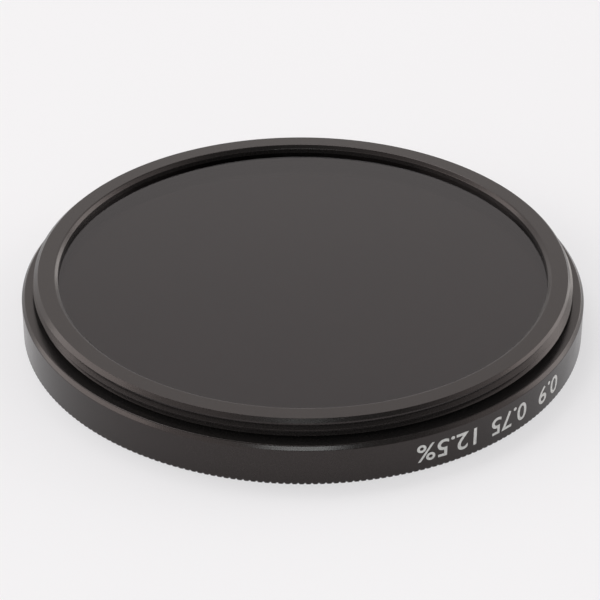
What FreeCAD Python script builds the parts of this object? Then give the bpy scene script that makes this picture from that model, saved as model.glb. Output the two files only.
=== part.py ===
import FreeCAD, Part

import math
import os

# A screw-in camera lens filter, lying on its front rim with the male thread up.
# Millimetres. The Z axis is the optical axis, and z = 0 is the front face that the filter rests on.
# The fine threads are left as plain walls here, each at the crest of its thread.

# The thread that gives the filter its size, male at the rear and female at the front
thread_size = 52.0
thread_pitch = 0.75

# Frame, along the axis
rim_height = 4.0
collar_height = 2.0
lip_thickness = 0.8
relief_width = 0.5
relief_sink = 0.05

# Frame, across the axis: each wall or step is measured from the one outside it
rim_wall = 1.15
seat_step = 1.0
ledge_width = 1.0
relief_past_root = 0.14
shoulder_past_thread = 0.1

# Frame edges, all cut at 45 degrees
collar_chamfer = 0.5
aperture_chamfer = 0.33
shoulder_chamfer = 0.35
countersink_past_root = 0.1

# Knurl: V notches across the corner of the front edge, as far up the wall as across the face
knurl_pitch = 0.617
knurl_reach = 0.22
knurl_half_angle = 45.0

# Glass disc
glass_thickness = 2.0
glass_chamfer = 0.2
glass_clearance = 0.1

# Retaining ring, which clamps the glass against the lip
ring_thickness = 0.9
ring_clearance = 0.03
ring_recess = 0.15
ring_bevel = 0.45
slot_width = 1.5
slot_depth = 0.45
slot_count = 2

# How far a cutting shape reaches past the surface that it cuts
cut_margin = 0.1

# Metric thread proportions: crest to root, for each pitch
male_thread_depth = 0.6134 * thread_pitch
female_thread_depth = 0.5413 * thread_pitch

# Radii, from the rim inwards
thread_radius = thread_size / 2
rim_radius = thread_radius + rim_wall
countersink_radius = thread_radius + countersink_past_root
shoulder_radius = thread_radius + shoulder_past_thread
relief_radius = thread_radius - male_thread_depth - relief_past_root
bore_radius = thread_radius - female_thread_depth
seat_radius = bore_radius - seat_step
aperture_radius = seat_radius - ledge_width
glass_radius = seat_radius - glass_clearance
ring_radius = seat_radius - ring_clearance

# Levels, from the rear face down
rear_z = rim_height + collar_height
ledge_z = rear_z - lip_thickness
glass_front_z = ledge_z - glass_thickness
ring_front_z = glass_front_z - ring_thickness
seat_z = ring_front_z - ring_recess


def turned(section):
    """Turn a closed section, given as (radius, z) corners, about the axis."""
    corners = [FreeCAD.Vector(radius, 0, z) for radius, z in section]
    outline = Part.makePolygon(corners + corners[:1])
    axis_point = FreeCAD.Vector(0, 0, 0)
    axis = FreeCAD.Vector(0, 0, 1)
    return Part.Face(outline).revolve(axis_point, axis, 360)


def about_axis(shape, angle):
    """A copy of a shape, turned about the axis by an angle in degrees."""
    copy = shape.copy()
    copy.rotate(FreeCAD.Vector(0, 0, 0), FreeCAD.Vector(0, 0, 1), angle)
    return copy


def knurl_notch():
    """One V-shaped cutter on the X axis, running at 45 degrees across the corner of the front edge."""
    along = FreeCAD.Vector(1, 0, 1).normalize()
    outward = FreeCAD.Vector(1, 0, -1).normalize()
    sideways = FreeCAD.Vector(0, 1, 0)
    corner = FreeCAD.Vector(rim_radius, 0, 0)
    depth = knurl_reach / math.sqrt(2)
    half_length = depth + cut_margin
    half_width = (depth + cut_margin) * math.tan(math.radians(knurl_half_angle))

    start = corner - along * half_length
    root = start - outward * depth
    mouth = start + outward * cut_margin
    left = mouth - sideways * half_width
    right = mouth + sideways * half_width
    profile = Part.Face(Part.makePolygon([root, left, right, root]))
    return profile.extrude(along * (2 * half_length))


def knurl():
    """All the notches round the front edge, with none on the seam of the turned wall."""
    count = round(2 * math.pi * rim_radius / knurl_pitch)
    step = 360 / count
    notch = knurl_notch()
    return [about_axis(notch, step * (index + 0.5)) for index in range(count)]


def filter_frame():
    """The turned ring: male collar, seating shoulder, knurled rim, female thread and glass seat."""
    rear_collar = [
        (aperture_radius, rear_z - aperture_chamfer),
        (aperture_radius + aperture_chamfer, rear_z),
        (thread_radius - collar_chamfer, rear_z),
        (thread_radius, rear_z - collar_chamfer),
        (thread_radius, rim_height + relief_width),
        (relief_radius, rim_height - relief_sink),
    ]
    rim = [
        (shoulder_radius, rim_height),
        (rim_radius - shoulder_chamfer, rim_height),
        (rim_radius, rim_height - shoulder_chamfer),
        (rim_radius, 0),
    ]
    front_bore = [
        (countersink_radius, 0),
        (bore_radius, countersink_radius - bore_radius),
        (bore_radius, seat_z),
        (seat_radius, seat_z),
        (seat_radius, ledge_z),
        (aperture_radius, ledge_z),
    ]
    return turned(rear_collar + rim + front_bore).cut(knurl())


def neutral_density_glass():
    """The flat glass disc, with ground chamfers on both edges."""
    return turned([
        (0, glass_front_z),
        (glass_radius - glass_chamfer, glass_front_z),
        (glass_radius, glass_front_z + glass_chamfer),
        (glass_radius, ledge_z - glass_chamfer),
        (glass_radius - glass_chamfer, ledge_z),
        (0, ledge_z),
    ])


def spanner_slot():
    """One slot across the front of the retaining ring, on the X axis."""
    length = ring_radius - aperture_radius + 2 * cut_margin
    corner = FreeCAD.Vector(aperture_radius - cut_margin, -slot_width / 2, ring_front_z - cut_margin)
    return Part.makeBox(length, slot_width, slot_depth + cut_margin, corner)


def retaining_ring():
    """The thin threaded ring on the glass: bevelled opening, and slots for a spanner."""
    blank = turned([
        (aperture_radius + ring_bevel, ring_front_z),
        (ring_radius, ring_front_z),
        (ring_radius, glass_front_z),
        (aperture_radius, glass_front_z),
        (aperture_radius, ring_front_z + ring_bevel),
    ])
    slot = spanner_slot()
    return blank.cut([about_axis(slot, 360 / slot_count * index) for index in range(slot_count)])


os.makedirs("parts", exist_ok=True)
filter_frame().exportStep("parts/filter_frame.step")
neutral_density_glass().exportStep("parts/neutral_density_glass.step")
retaining_ring().exportStep("parts/retaining_ring.step")
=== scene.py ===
import math

import bmesh
import bpy
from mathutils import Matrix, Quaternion, Vector


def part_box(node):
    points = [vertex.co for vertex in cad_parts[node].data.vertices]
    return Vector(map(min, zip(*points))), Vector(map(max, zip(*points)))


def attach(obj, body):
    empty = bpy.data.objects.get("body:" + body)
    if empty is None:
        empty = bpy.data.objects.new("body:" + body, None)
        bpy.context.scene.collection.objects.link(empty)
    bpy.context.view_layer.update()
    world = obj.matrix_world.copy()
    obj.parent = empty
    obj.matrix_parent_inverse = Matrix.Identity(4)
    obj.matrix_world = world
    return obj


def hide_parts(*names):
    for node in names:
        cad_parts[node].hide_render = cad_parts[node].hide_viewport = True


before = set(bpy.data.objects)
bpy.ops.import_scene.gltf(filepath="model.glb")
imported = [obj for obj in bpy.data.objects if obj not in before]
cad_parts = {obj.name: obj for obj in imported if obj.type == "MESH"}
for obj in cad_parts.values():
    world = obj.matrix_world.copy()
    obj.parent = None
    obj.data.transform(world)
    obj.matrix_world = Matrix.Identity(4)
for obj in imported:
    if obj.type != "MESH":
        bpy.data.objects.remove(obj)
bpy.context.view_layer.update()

# A screw-in lens filter lying on its front rim. Sizes are in millimetres, on the solids' own frame:
# Z is the optical axis, z = 0 is the front face, and the male thread is up.
MM = 0.001

# Sizes that are read from the solids, by their lowest and highest corners
frame_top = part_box("filter_frame")[1]
glass_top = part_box("neutral_density_glass")[1]
ring_bottom, ring_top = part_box("retaining_ring")
rim_radius = frame_top.x / MM
rear_z = frame_top.z / MM
ledge_z = glass_top.z / MM
ring_front_z = ring_bottom.z / MM
ring_rear_z = ring_top.z / MM

# Sizes of the frame that repeat those of its solid
thread_size = 52.0
thread_pitch = 0.75
collar_height = 2.0
collar_chamfer = 0.5
aperture_chamfer = 0.33
relief_width = 0.5
relief_sink = 0.05
relief_depth = 0.6
shoulder_past_thread = 0.1
countersink_past_thread = 0.1
seat_step = 1.0
ledge_width = 1.0
# The rim's chamfer, across and along the axis: a shade steeper than the solid's, as its highlight shows
rim_facet_width = 0.30
rim_facet_height = 0.365

# Small rounds on the frame's edges, the steps of an arc, and the flat beside it that keeps its own shading
edge_round = 0.05
lip_round = 0.08
aperture_round = 0.22
shoulder_round = 0.15
rim_wall_round = 0.12
arc_steps = 3
flat_margin = 0.01

# Thread section: its depth and its flats as shares of the pitch, and how far from the seat's floor the
# female one has run out
thread_depth_share = 0.5413
narrow_flat = 0.03
wide_flat = 0.25
thread_end_gap = 0.2

# Knurl: V notches across the corner of the front edge, with a fine bevel on the lands between them
knurl_count = 276
knurl_reach = 0.22
knurl_bevel = 0.03

# Retaining ring, with sizes that repeat those of its solid, and its softened edges
ring_recess = 0.15
ring_clearance = 0.03
ring_bevel = 0.45
slot_width = 1.5
slot_depth = 0.45
slot_count = 2
ring_edge_round = 0.04
ring_columns = 360

# Meshes: the angles in degrees past which an edge is sharp, and the distance at which points are one
frame_sharp_angle = 28
ring_sharp_angle = 32
ink_sharp_angle = 30
merge_distance = 0.00002

# Ink on the rim wall: the figures' height, the level of their feet, the ink's thickness and how much of it
# is sunk in the wall, how much bolder the strokes are, and the steps of a curve
ink_height = 1.87
ink_foot_z = 2.80
ink_thickness = 0.016
ink_sunk = 0.004
ink_boldness = 0.018
ink_curve_steps = 6
# Each group of figures, with the bearings in degrees, from the front towards +X, between which it stands
ink_groups = {
    "print_transmission": ("12.5%", 22.1, 35.3),
    "print_pitch": ("0.75", 39.1, 48.9),
    "print_density": ("0.9", 53.2, 60.6),
}

# Materials. Tones are a dark and a light colour. A noise has its patches in a metre and its detail, and
# nearly all its values are in one range. A bump has its strength and its depth in millimetres.
noise_range = (0.3, 0.7)

# Black anodised aluminium: the patches are those of its sheen, and the grain is that of a blasted surface
anodised_tones = ((0.0080, 0.0073, 0.0072), (0.0156, 0.0143, 0.0141))
anodised_tint = (1.0, 0.865, 0.84)
anodised_ior = 1.46
anodised_patches = (260, 4)
anodised_grain = (8000, 2)
anodised_bump = (0.5, 0.006)
frame_roughness = 0.23
ring_roughness = 0.34
roughness_swing = 0.03

# Dark neutral glass
glass_tones = ((0.050, 0.043, 0.040), (0.060, 0.052, 0.048))
glass_tint = (1.0, 0.91, 0.955)
glass_ior = 1.425
glass_haze = (90, 3)
glass_roughness = (0.01, 0.03)

# White ink
ink_tones = ((0.50, 0.50, 0.49), (0.68, 0.68, 0.67))
ink_cover = (6000, 3)
ink_roughness = (0.45, 0.6)
ink_bump = (0.2, 0.005)

# Pale board: its own share is how much of what is seen of it is its own tone, whatever light falls on it
board_tones = ((0.890, 0.881, 0.895), (0.900, 0.891, 0.905))
board_mottle = (12, 2)
board_roughness = 0.9
board_own_share = 0.58

# Camera, fitted to the rim and thread ellipses of the photograph; the roll is in radians
camera_place = (0.0, -200.45, 130.53)
camera_aim = (-0.27, 0.93, 1.40)
camera_roll = 0.0055
camera_lens = 146.65
camera_sensor = 36.0
camera_near = 10.0
camera_far = 20000.0

# Floor and room: the floor's half width, and the colour and brightness of the room's walls and ceiling
floor_half_width = 3000.0
room_colour = (1.0, 0.96, 0.94)
room_wall_level = 1.06
room_ceiling_level = 0.15
# The elevations in degrees between which the room's light falls off from the walls to the ceiling
wall_top = 35
ceiling_edge = 75
# The dim side of the room behind the camera: its bearing and elevation, the angles from it between which
# it sets in, and the share of light that is left there
dim_side = (22, 38)
dim_side_outer = 46
dim_side_inner = 18
dim_side_share = 0.15

# Colours of the soft lamps
neutral_light = (1.0, 1.0, 1.0)
warm_light = (1.0, 0.97, 0.94)
cool_light = (0.85, 1.0, 1.02)
# Each lamp's bearing and elevation in degrees, its distance, width and height in metres, its brightness
# and its colour
lamps = {
    "left_lamp": (-91, 22.5, 0.8, 0.84, 0.46, 2.0, warm_light),
    "right_lamp": (113, 20, 0.8, 0.50, 0.38, 2.2, warm_light),
    "low_lamp": (145, 6, 0.8, 0.35, 0.20, 2.0, warm_light),
    "front_lamp": (0, 43, 0.6, 0.24, 0.09, 6.9, cool_light),
    "back_lamp": (-150, 60, 0.8, 0.60, 0.30, 2.8, neutral_light),
}

# Radii, from the thread inwards
thread_radius = thread_size / 2
countersink_radius = thread_radius + countersink_past_thread
shoulder_radius = thread_radius + shoulder_past_thread
relief_radius = thread_radius - relief_depth
bore_radius = thread_radius - thread_depth_share * thread_pitch
seat_radius = bore_radius - seat_step
ring_radius = seat_radius - ring_clearance
aperture_radius = seat_radius - ledge_width

# Levels, from the rear down
rim_height = rear_z - collar_height
relief_top_z = rim_height + relief_width
relief_floor_z = rim_height - relief_sink
seat_z = ring_front_z - ring_recess
thread_end_z = seat_z - thread_end_gap


def rounded(corners, radii):
    """An open line of (radius, z) corners, with each inner corner turned into a small arc.

    A point close beside each end of an arc lets the flats keep their own shading.
    """
    points = [Vector(corner) for corner in corners]
    line = [points[0]]
    for before, corner, after, radius in zip(points, points[1:], points[2:], radii):
        back = (before - corner).normalized()
        ahead = (after - corner).normalized()
        half_angle = back.angle(ahead) / 2
        reach = radius / math.tan(half_angle)
        centre = corner + (back + ahead).normalized() * radius / math.sin(half_angle)
        start = (corner + back * reach - centre).normalized()
        end = (corner + ahead * reach - centre).normalized()
        line.append(corner + back * (reach + flat_margin))
        line += [centre + start.slerp(end, step / arc_steps) * radius for step in range(arc_steps + 1)]
        line.append(corner + ahead * (reach + flat_margin))
    line.append(points[-1])
    return [tuple(point) for point in line]


def radius_at(line, z):
    """The radius at a height on a line of (radius, z) corners that climbs."""
    for (low_radius, low_z), (high_radius, high_z) in zip(line, line[1:]):
        if z <= high_z:
            share = (z - low_z) / (high_z - low_z)
            return low_radius + (high_radius - low_radius) * share
    return line[-1][0]


def thread_line(turn, crest, root, crest_flat, root_flat, low, high):
    """The corners of a right-hand thread's section, climbing from under low to over high."""
    corners = [
        (-crest_flat / 2, crest),
        (crest_flat / 2, crest),
        (0.5 - root_flat / 2, root),
        (0.5 + root_flat / 2, root),
    ]
    first = math.floor(low / thread_pitch) - 2
    last = math.ceil(high / thread_pitch) + 2
    return [
        (radius, (turn + count + phase) * thread_pitch)
        for count in range(first, last)
        for phase, radius in corners
    ]


def crossing_z(piece, other):
    """The height where two climbing pieces of line cross, or the first one's foot if they don't."""
    (start_radius, start_z), (end_radius, end_z) = piece
    (other_radius, other_z), (other_end_radius, other_end_z) = other
    slope = (end_radius - start_radius) / (end_z - start_z)
    other_slope = (other_end_radius - other_radius) / (other_end_z - other_z)
    if slope == other_slope:
        return start_z
    z = start_z + (other_radius + other_slope * (start_z - other_z) - start_radius) / (slope - other_slope)
    inside = max(start_z, other_z) <= z <= min(end_z, other_end_z)
    return z if inside else start_z


def break_heights(thread, edges, low, high):
    """Climbing heights at which a wall cut by a thread may change slope, as many on every line."""
    heights = [z for _, z in thread]
    for edge in edges:
        heights += [z for _, z in edge]
        heights += [crossing_z(piece, edge) for piece in zip(thread, thread[1:])]
    return sorted(min(max(z, low), high) for z in heights)


def male_wall(turn, low, high):
    """The collar's wall on one line, from low to high: the thread inside its relief and lead-in chamfer."""
    envelope = [
        (relief_radius, relief_floor_z),
        (thread_radius, relief_top_z),
        (thread_radius, rear_z - collar_chamfer),
        (thread_radius - collar_chamfer, rear_z),
    ]
    thread = thread_line(turn, thread_radius, bore_radius, narrow_flat, wide_flat, low, high)
    edges = [envelope[:2], envelope[2:]]
    heights = break_heights(thread, edges, low, high)
    return [(min(radius_at(envelope, z), radius_at(thread, z)), z) for z in heights]


def female_wall(turn, low, high):
    """The front bore's wall on one line, from low to high: countersink, thread and the thread's run-out."""
    countersink = [
        (countersink_radius, 0),
        (bore_radius, countersink_radius - bore_radius),
        (bore_radius, seat_z),
    ]
    run_out = [
        (bore_radius + thread_end_z, 0),
        (bore_radius, thread_end_z),
        (bore_radius, seat_z),
    ]
    thread = thread_line(turn, bore_radius, thread_radius, wide_flat, narrow_flat, low, high)
    edges = [countersink[:2], run_out[:2]]
    heights = break_heights(thread, edges, low, high)
    return [
        (max(radius_at(countersink, z), min(radius_at(thread, z), radius_at(run_out, z))), z)
        for z in heights
    ]


def collar_top():
    """The aperture, its chamfer and the collar's rear face, as far as the start of the lead-in chamfer."""
    chamfer_start = 2 * edge_round
    return rounded([
        (aperture_radius, ledge_z),
        (aperture_radius, rear_z - aperture_chamfer),
        (aperture_radius + aperture_chamfer, rear_z),
        (thread_radius - collar_chamfer, rear_z),
        (thread_radius - collar_chamfer + chamfer_start, rear_z - chamfer_start),
    ], [lip_round, aperture_round, edge_round])


def rim_side():
    """The seating shoulder, its chamfer and the rim wall, down to the knurl."""
    return rounded([
        (relief_radius, relief_floor_z),
        (shoulder_radius, rim_height),
        (rim_radius - rim_facet_width, rim_height),
        (rim_radius, rim_height - rim_facet_height),
        (rim_radius, 2 * knurl_reach),
    ], [shoulder_round, shoulder_round, rim_wall_round])


def front_edge(in_notch):
    """The corner of the front edge, on the land between two notches or along the root of a notch."""
    land = [
        (rim_radius, knurl_reach),
        (rim_radius, knurl_bevel),
        (rim_radius - knurl_bevel, 0),
        (rim_radius - knurl_reach, 0),
    ]
    if not in_notch:
        return land
    shares = [index / (len(land) - 1) for index in range(len(land))]
    return [(rim_radius - knurl_reach * share, knurl_reach * (1 - share)) for share in shares]


def glass_seat():
    """The floor of the front bore and the seat that takes the glass and the retaining ring."""
    return [(seat_radius, seat_z), (seat_radius, ledge_z)]


def frame_column(angle, in_notch):
    """All corners of the frame's section on one line, and the index of the first one on the front edge."""
    turn = angle / math.tau
    top = collar_top()
    collar = male_wall(turn, relief_floor_z, top[-1][1])[::-1]
    rim = rim_side()
    edge = front_edge(in_notch)
    bore = female_wall(turn, 0, seat_z)
    edge_index = len(top) + len(collar) + len(rim)
    return top + collar + rim + edge + bore + glass_seat(), edge_index


def knurl_columns():
    """The angle of every line of the frame, and whether it is the root of a notch, once round and closed.

    The walls of a notch stand at 45 degrees, so it reaches as far to each side as it is deep.
    """
    step = math.tau / knurl_count
    depth = knurl_reach / math.sqrt(2)
    half_notch = depth / rim_radius
    columns = []
    for index in range(knurl_count):
        land = step * index
        root = land + step / 2
        columns += [(land, False), (root - half_notch, False), (root, True), (root + half_notch, False)]
    first_angle, first_kind = columns[0]
    return columns + [(first_angle + math.tau, first_kind)]


def on_circle(radius, angle, z):
    """A point in metres from a radius and height in millimetres and an angle from +X."""
    return Vector((radius * math.cos(angle), radius * math.sin(angle), z)) * MM


def shaded_object(name, mesh_builder, sharp_angle):
    """A smooth-shaded mesh object with crisp edges, from a filled bmesh."""
    bmesh.ops.remove_doubles(mesh_builder, verts=mesh_builder.verts, dist=merge_distance * MM)
    bmesh.ops.recalc_face_normals(mesh_builder, faces=mesh_builder.faces)
    mesh = bpy.data.meshes.new(name)
    mesh_builder.to_mesh(mesh)
    mesh_builder.free()
    mesh.shade_smooth()
    mesh.set_sharp_from_angle(angle=math.radians(sharp_angle))
    piece = bpy.data.objects.new(name, mesh)
    bpy.context.scene.collection.objects.link(piece)
    return piece


def knurl_split(row, edge_index, left_in_notch):
    """Whether a quad beside a notch is split from its first corner, or None away from the front edge."""
    if row == edge_index:
        return left_in_notch
    if row == edge_index + 2:
        return not left_in_notch
    return None


def threaded_frame():
    """The frame with its real threads, rounded edges and knurl, in place of the plain solid."""
    mesh_builder = bmesh.new()
    columns = knurl_columns()
    lines = []
    for angle, in_notch in columns:
        section, edge_index = frame_column(angle, in_notch)
        lines.append([mesh_builder.verts.new(on_circle(radius, angle, z)) for radius, z in section])
    for index, (left, right) in enumerate(zip(lines, lines[1:])):
        left_in_notch = columns[index][1]
        beside_notch = left_in_notch or columns[index + 1][1]
        for row in range(len(left)):
            below = (row + 1) % len(left)
            corners = [left[row], left[below], right[below], right[row]]
            split = knurl_split(row, edge_index, left_in_notch) if beside_notch else None
            if split is None:
                mesh_builder.faces.new(corners)
            else:
                first, second, third, fourth = corners if split else corners[1:] + corners[:1]
                mesh_builder.faces.new([first, second, third])
                mesh_builder.faces.new([first, third, fourth])
    return shaded_object("threaded_frame", mesh_builder, frame_sharp_angle)


def ring_section(in_slot):
    """The retaining ring's section, either whole or where a spanner slot crosses it."""
    inner = aperture_radius
    whole = [
        (inner + ring_bevel, ring_front_z),
        (ring_radius, ring_front_z),
        (ring_radius, ring_rear_z),
        (inner, ring_rear_z),
        (inner, ring_front_z + ring_bevel),
    ]
    middle = ((inner + ring_bevel + ring_radius) / 2, ring_front_z)
    line = rounded([middle] + whole[1:] + whole[:1] + [middle], [ring_edge_round] * len(whole))[:-1]
    if not in_slot:
        return line
    return [(radius, max(z, ring_front_z + slot_depth)) for radius, z in line]


def ring_lines():
    """Angle and section kind of each line round the ring, with a doubled line at both walls of each slot."""
    half_slot = math.asin(slot_width / 2 / ring_radius)
    span = math.tau / slot_count - 2 * half_slot
    steps = ring_columns // slot_count
    lines = []
    for index in range(slot_count):
        middle = math.tau * index / slot_count
        lines += [(middle - half_slot, False), (middle - half_slot, True)]
        lines += [(middle + half_slot, True), (middle + half_slot, False)]
        lines += [(middle + half_slot + span * step / steps, False) for step in range(1, steps)]
    return lines


def slotted_ring():
    """The retaining ring with softened edges and its spanner slots, in place of the plain solid."""
    mesh_builder = bmesh.new()
    lines = [
        [mesh_builder.verts.new(on_circle(radius, angle, z)) for radius, z in ring_section(in_slot)]
        for angle, in_slot in ring_lines()
    ]
    for left, right in zip(lines, lines[1:] + lines[:1]):
        for row in range(len(left)):
            below = (row + 1) % len(left)
            mesh_builder.faces.new([left[row], left[below], right[below], right[row]])
    return shaded_object("slotted_ring", mesh_builder, ring_sharp_angle)


def flat_figures(text):
    """A closed thin mesh of some figures, lying flat, from the built-in font."""
    curve = bpy.data.curves.new("figures", "FONT")
    curve.body = text
    curve.size = ink_height
    curve.extrude = ink_thickness / 2
    curve.offset = ink_boldness
    curve.resolution_u = ink_curve_steps
    holder = bpy.data.objects.new("figures", curve)
    bpy.context.scene.collection.objects.link(holder)
    bpy.context.view_layer.update()
    mesh = bpy.data.meshes.new_from_object(holder.evaluated_get(bpy.context.evaluated_depsgraph_get()))
    bpy.data.objects.remove(holder)
    return mesh


def wrapped_print(name, text, start, end):
    """Figures in ink that follow the rim wall between two bearings, upright on the filter turned over."""
    mesh = flat_figures(text)
    across = [vertex.co.x for vertex in mesh.vertices]
    up = [vertex.co.y for vertex in mesh.vertices]
    width = math.radians(end - start) * rim_radius
    for vertex in mesh.vertices:
        right = (vertex.co.x - min(across)) / (max(across) - min(across)) * width
        rise = (vertex.co.y - min(up)) / (max(up) - min(up)) * ink_height
        bearing = math.radians(end) - right / rim_radius
        radius = rim_radius + vertex.co.z + ink_thickness / 2 - ink_sunk
        vertex.co = on_circle(radius, bearing - math.pi / 2, ink_foot_z - rise)
    mesh_builder = bmesh.new()
    mesh_builder.from_mesh(mesh)
    return shaded_object(name, mesh_builder, ink_sharp_angle)


def new_material(name):
    """A node material: itself, its tree, its one shader and the coordinates that its textures use."""
    material = bpy.data.materials.new(name)
    material.use_nodes = True
    tree = material.node_tree
    place = tree.nodes.new("ShaderNodeTexCoord").outputs["Object"]
    return material, tree, tree.nodes["Principled BSDF"], place


def noise(tree, place, scale, detail):
    """A noise texture; its scale counts patches in a metre."""
    texture = tree.nodes.new("ShaderNodeTexNoise")
    texture.inputs["Scale"].default_value = scale
    texture.inputs["Detail"].default_value = detail
    tree.links.new(place, texture.inputs["Vector"])
    return texture.outputs["Fac"]


def two_tone(tree, factor, dark, light):
    """A colour that goes from dark to light with a noise value."""
    node = tree.nodes.new("ShaderNodeValToRGB")
    for element, position, colour in zip(node.color_ramp.elements, noise_range, (dark, light)):
        element.position = position
        element.color = (*colour, 1)
    tree.links.new(factor, node.inputs["Fac"])
    return node.outputs["Color"]


def spread(tree, factor, low, high):
    """A noise value stretched over a range of numbers."""
    node = tree.nodes.new("ShaderNodeMapRange")
    node.inputs["From Min"].default_value = noise_range[0]
    node.inputs["From Max"].default_value = noise_range[1]
    node.inputs["To Min"].default_value = low
    node.inputs["To Max"].default_value = high
    tree.links.new(factor, node.inputs["Value"])
    return node.outputs["Result"]


def bump(tree, height, strength, depth):
    """A bump that follows a noise value, with its depth in millimetres."""
    node = tree.nodes.new("ShaderNodeBump")
    node.inputs["Strength"].default_value = strength
    node.inputs["Distance"].default_value = depth * MM
    tree.links.new(height, node.inputs["Height"])
    return node.outputs["Normal"]


def calculate(tree, operation, first, second):
    """The result of a math node on a socket and either another socket or a number."""
    node = tree.nodes.new("ShaderNodeMath")
    node.operation = operation
    tree.links.new(first, node.inputs[0])
    if isinstance(second, bpy.types.NodeSocket):
        tree.links.new(second, node.inputs[1])
    else:
        node.inputs[1].default_value = second
    return node.outputs["Value"]


def anodised_black(name, roughness):
    """Satin black anodised aluminium: the fine grain of a blasted surface, and an uneven sheen."""
    material, tree, shader, place = new_material(name)
    patches = noise(tree, place, *anodised_patches)
    grain = noise(tree, place, *anodised_grain)
    sheen = spread(tree, patches, roughness - roughness_swing, roughness + roughness_swing)
    tree.links.new(two_tone(tree, grain, *anodised_tones), shader.inputs["Base Color"])
    tree.links.new(sheen, shader.inputs["Roughness"])
    tree.links.new(bump(tree, grain, *anodised_bump), shader.inputs["Normal"])
    shader.inputs["IOR"].default_value = anodised_ior
    shader.inputs["Specular Tint"].default_value = (*anodised_tint, 1)
    return material


def neutral_glass():
    """Dark neutral-density glass, polished, with a faint haze."""
    material, tree, shader, place = new_material("neutral_glass")
    haze = noise(tree, place, *glass_haze)
    tree.links.new(two_tone(tree, haze, *glass_tones), shader.inputs["Base Color"])
    tree.links.new(spread(tree, haze, *glass_roughness), shader.inputs["Roughness"])
    shader.inputs["Transmission Weight"].default_value = 1.0
    shader.inputs["IOR"].default_value = glass_ior
    shader.inputs["Specular Tint"].default_value = (*glass_tint, 1)
    return material


def white_ink():
    """Pad-printed white ink, a little uneven where it thins out."""
    material, tree, shader, place = new_material("white_ink")
    cover = noise(tree, place, *ink_cover)
    tree.links.new(two_tone(tree, cover, *ink_tones), shader.inputs["Base Color"])
    tree.links.new(spread(tree, cover, *ink_roughness), shader.inputs["Roughness"])
    tree.links.new(bump(tree, cover, *ink_bump), shader.inputs["Normal"])
    return material


def own_tone_share(tree, place):
    """The share of the board's own tone in what camera, gloss and glass rays see of it outside the bore."""
    from_axis = tree.nodes.new("ShaderNodeVectorMath")
    from_axis.operation = "LENGTH"
    tree.links.new(place, from_axis.inputs[0])
    outside = calculate(tree, "GREATER_THAN", from_axis.outputs["Value"], countersink_radius * MM)
    path = tree.nodes.new("ShaderNodeLightPath")
    seen = path.outputs["Is Camera Ray"]
    for ray in ("Is Glossy Ray", "Is Transmission Ray"):
        seen = calculate(tree, "MAXIMUM", seen, path.outputs[ray])
    share = calculate(tree, "MULTIPLY", seen, board_own_share)
    return calculate(tree, "MULTIPLY", outside, share)


def pale_board():
    """The matt white board that the filter lies on: lit as any board, and partly its own pale tone."""
    material, tree, shader, place = new_material("pale_board")
    tone = two_tone(tree, noise(tree, place, *board_mottle), *board_tones)
    tree.links.new(tone, shader.inputs["Base Color"])
    shader.inputs["Roughness"].default_value = board_roughness
    shader.inputs["Specular IOR Level"].default_value = 0.0
    glow = tree.nodes.new("ShaderNodeEmission")
    tree.links.new(tone, glow.inputs["Color"])
    both = tree.nodes.new("ShaderNodeMixShader")
    tree.links.new(own_tone_share(tree, place), both.inputs["Fac"])
    tree.links.new(shader.outputs["BSDF"], both.inputs[1])
    tree.links.new(glow.outputs["Emission"], both.inputs[2])
    tree.links.new(both.outputs["Shader"], tree.nodes["Material Output"].inputs["Surface"])
    return material


def dress(piece, material):
    """Give a piece its material and its place on the frame."""
    piece.data.materials.clear()
    piece.data.materials.append(material)
    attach(piece, "root")


def stand_for(node):
    """Hide the solid that an anodised piece replaces."""
    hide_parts(node)


def dress_glass():
    """The glass keeps its solid and gets its material."""
    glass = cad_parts["neutral_density_glass"]
    glass.data.materials.clear()
    glass.data.materials.append(neutral_glass())


def add_floor():
    """A wide pale floor at the front face's level."""
    reach = floor_half_width * MM
    corners = [(-reach, -reach, 0), (reach, -reach, 0), (reach, reach, 0), (-reach, reach, 0)]
    mesh = bpy.data.meshes.new("floor")
    mesh.from_pydata(corners, [], [(0, 1, 2, 3)])
    floor = bpy.data.objects.new("floor", mesh)
    bpy.context.scene.collection.objects.link(floor)
    floor.data.materials.append(pale_board())


def direction(bearing, elevation):
    """A unit vector from a bearing, in degrees from the front towards +X, and an elevation."""
    turned = math.radians(bearing)
    raised = math.radians(elevation)
    across = math.cos(raised)
    return Vector((across * math.sin(turned), -across * math.cos(turned), math.sin(raised)))


def eased_towards(tree, pole, outer, inner, far_value, near_value):
    """A value of the room's light that eases from one level to another within two angles of a direction."""
    closeness = tree.nodes.new("ShaderNodeVectorMath")
    closeness.operation = "DOT_PRODUCT"
    closeness.inputs[1].default_value = pole
    tree.links.new(tree.nodes.new("ShaderNodeTexCoord").outputs["Generated"], closeness.inputs[0])
    level = tree.nodes.new("ShaderNodeMapRange")
    level.interpolation_type = "SMOOTHSTEP"
    level.inputs["From Min"].default_value = math.cos(math.radians(outer))
    level.inputs["From Max"].default_value = math.cos(math.radians(inner))
    level.inputs["To Min"].default_value = far_value
    level.inputs["To Max"].default_value = near_value
    tree.links.new(closeness.outputs["Value"], level.inputs["Value"])
    return level.outputs["Result"]


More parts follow.
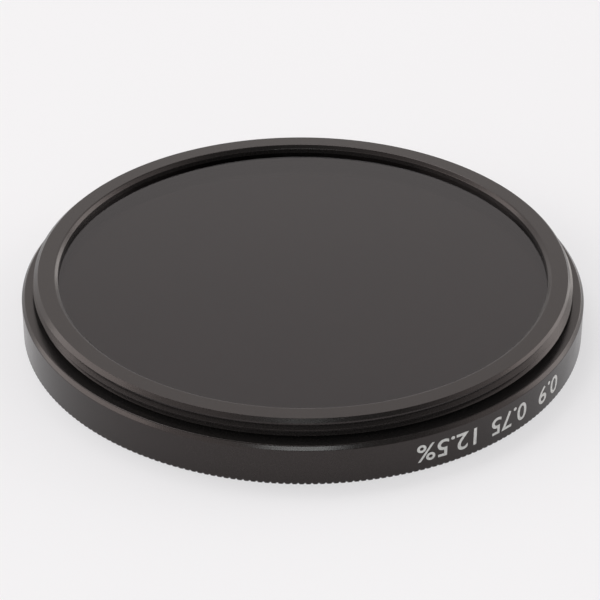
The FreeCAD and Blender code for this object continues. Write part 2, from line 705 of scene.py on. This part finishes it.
def add_room():
    """A pale room, dim above and behind the camera."""
    world = bpy.data.worlds.new("pale_room")
    world.use_nodes = True
    tree = world.node_tree
    overhead = Vector((0, 0, 1))
    behind = direction(*dim_side)
    levels = (room_wall_level, room_ceiling_level)
    by_height = eased_towards(tree, overhead, 90 - wall_top, 90 - ceiling_edge, *levels)
    by_side = eased_towards(tree, behind, dim_side_outer, dim_side_inner, 1, dim_side_share)
    background = tree.nodes["Background"]
    background.inputs["Color"].default_value = (*room_colour, 1)
    tree.links.new(calculate(tree, "MULTIPLY", by_height, by_side), background.inputs["Strength"])
    bpy.context.scene.world = world


def add_lamp(name, bearing, elevation, distance, width, height, brightness, colour):
    """A soft lamp that faces the filter; a brightness of 1 looks white."""
    lamp = bpy.data.lights.new(name, "AREA")
    lamp.shape = "RECTANGLE"
    lamp.size = width
    lamp.size_y = height
    lamp.energy = brightness * math.pi * width * height
    lamp.color = colour
    holder = bpy.data.objects.new(name, lamp)
    holder.location = direction(bearing, elevation) * distance
    holder.rotation_euler = (-holder.location).to_track_quat("-Z", "Y").to_euler()
    bpy.context.scene.collection.objects.link(holder)


def add_camera():
    """The photograph's viewpoint."""
    camera = bpy.data.cameras.new("camera")
    camera.lens = camera_lens
    camera.sensor_width = camera_sensor
    camera.clip_start = camera_near * MM
    camera.clip_end = camera_far * MM
    holder = bpy.data.objects.new("camera", camera)
    place = Vector(camera_place) * MM
    look = (Vector(camera_aim) * MM - place).to_track_quat("-Z", "Y")
    holder.location = place
    holder.rotation_mode = "QUATERNION"
    holder.rotation_quaternion = look @ Quaternion((0, 0, 1), camera_roll)
    bpy.context.scene.collection.objects.link(holder)
    bpy.context.scene.camera = holder


filter_ring = threaded_frame()
dress(filter_ring, anodised_black("anodised_frame", frame_roughness))
stand_for("filter_frame")
clamp_ring = slotted_ring()
dress(clamp_ring, anodised_black("anodised_ring", ring_roughness))
stand_for("retaining_ring")
ink = white_ink()
for print_name, (figures, first_bearing, last_bearing) in ink_groups.items():
    dress(wrapped_print(print_name, figures, first_bearing, last_bearing), ink)
dress_glass()
add_floor()
add_room()
for lamp_name, lamp_values in lamps.items():
    add_lamp(lamp_name, *lamp_values)
add_camera()
bpy.context.scene.view_settings.view_transform = "Standard"
